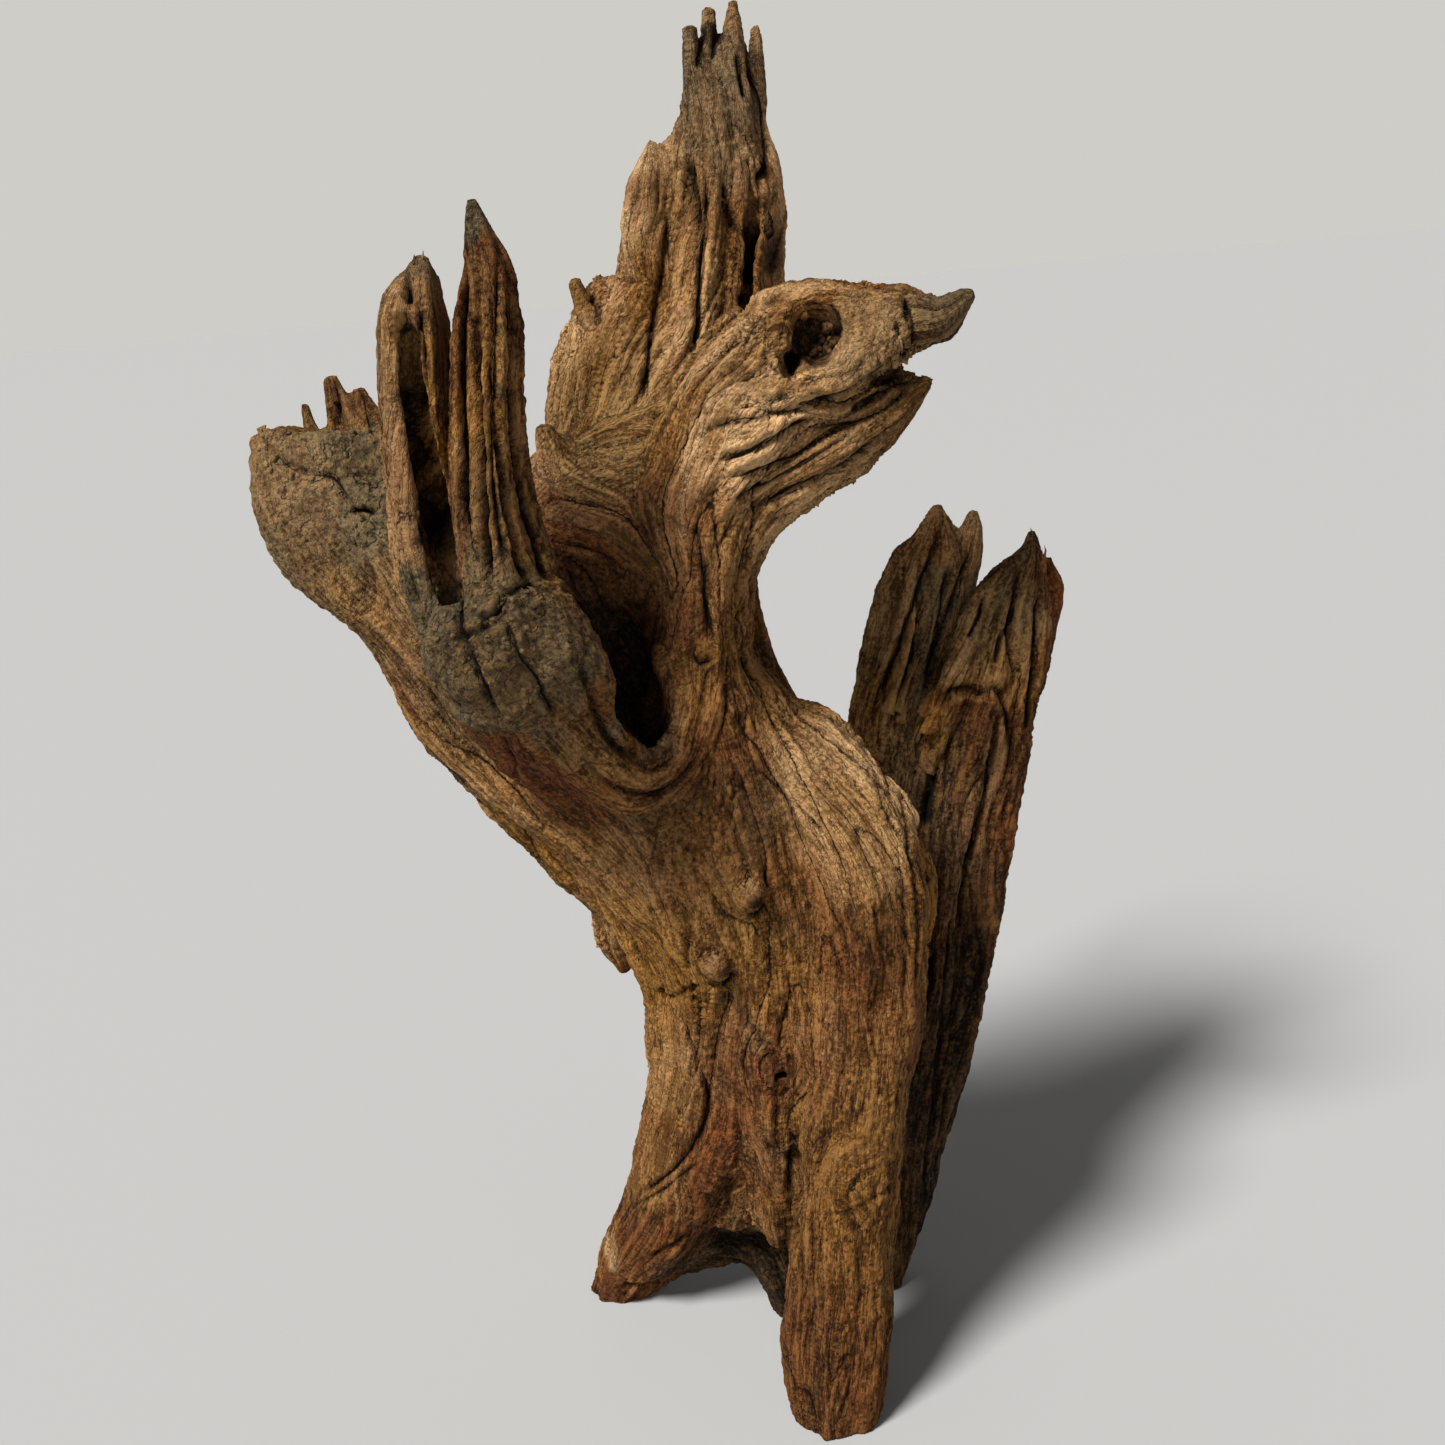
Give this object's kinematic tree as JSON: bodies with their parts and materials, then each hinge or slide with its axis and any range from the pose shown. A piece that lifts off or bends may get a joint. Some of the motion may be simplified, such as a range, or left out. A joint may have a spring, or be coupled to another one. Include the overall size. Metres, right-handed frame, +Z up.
{
  "type": "driftwood",
  "caption": "Gnarled branching driftwood that stands upright on its own root ends, with splintered spires, a hollowed beak-like branch and two rear slabs.",
  "frame": {"origin": "Middle of the flat under the front leg, on the surface that the wood stands on.", "axes": "+Z up, -Y towards the side with the burl and the front leg, +X to the right seen from there."},
  "size_m": [0.2926, 0.1446, 0.501],
  "materials": {
    "red_brown_heartwood": "Weathered red-brown heartwood with long fine grain, checks and small knots; matt.",
    "tan_heartwood": "Tan to pinkish brown wood with bark-like pits and long grooves; matt.",
    "charcoal_wood": "Charcoal grey, cracked inner wood; dull.",
    "grey_weathered_wood": "Olive grey-brown weathered wood, rough and pitted; dull.",
    "grey_burl_wood": "Dark grey blunt burl face with cracks, reddish brown below; dull.",
    "ochre_splintered_wood": "Ochre and brown splintered wood with deep long grooves and pale pink edges; matt.",
    "ochre_heartwood": "Ochre-brown wood with purple-brown streaks, deep curved grain and cracks; matt.",
    "purple_brown_wood": "Dark purple-brown wood with grey and tan streaks; matt.",
    "grey_green_wood": "Dark olive-grey wood with pale streaks; dull."
  },
  "bodies": {
    "root": {"trunk": "red_brown_heartwood", "neck": "red_brown_heartwood", "saddle": "ochre_heartwood", "front_leg": "tan_heartwood", "left_foot": "red_brown_heartwood", "dark_root": "charcoal_wood", "left_branch": "grey_weathered_wood", "burl": "grey_burl_wood", "left_spire": "ochre_splintered_wood", "right_spire": "ochre_splintered_wood", "head_branch": "ochre_heartwood", "tall_branch": "ochre_heartwood", "rear_slab": "purple_brown_wood", "back_slab": "grey_green_wood", "back_slat": "red_brown_heartwood"}
  },
  "joints": []
}
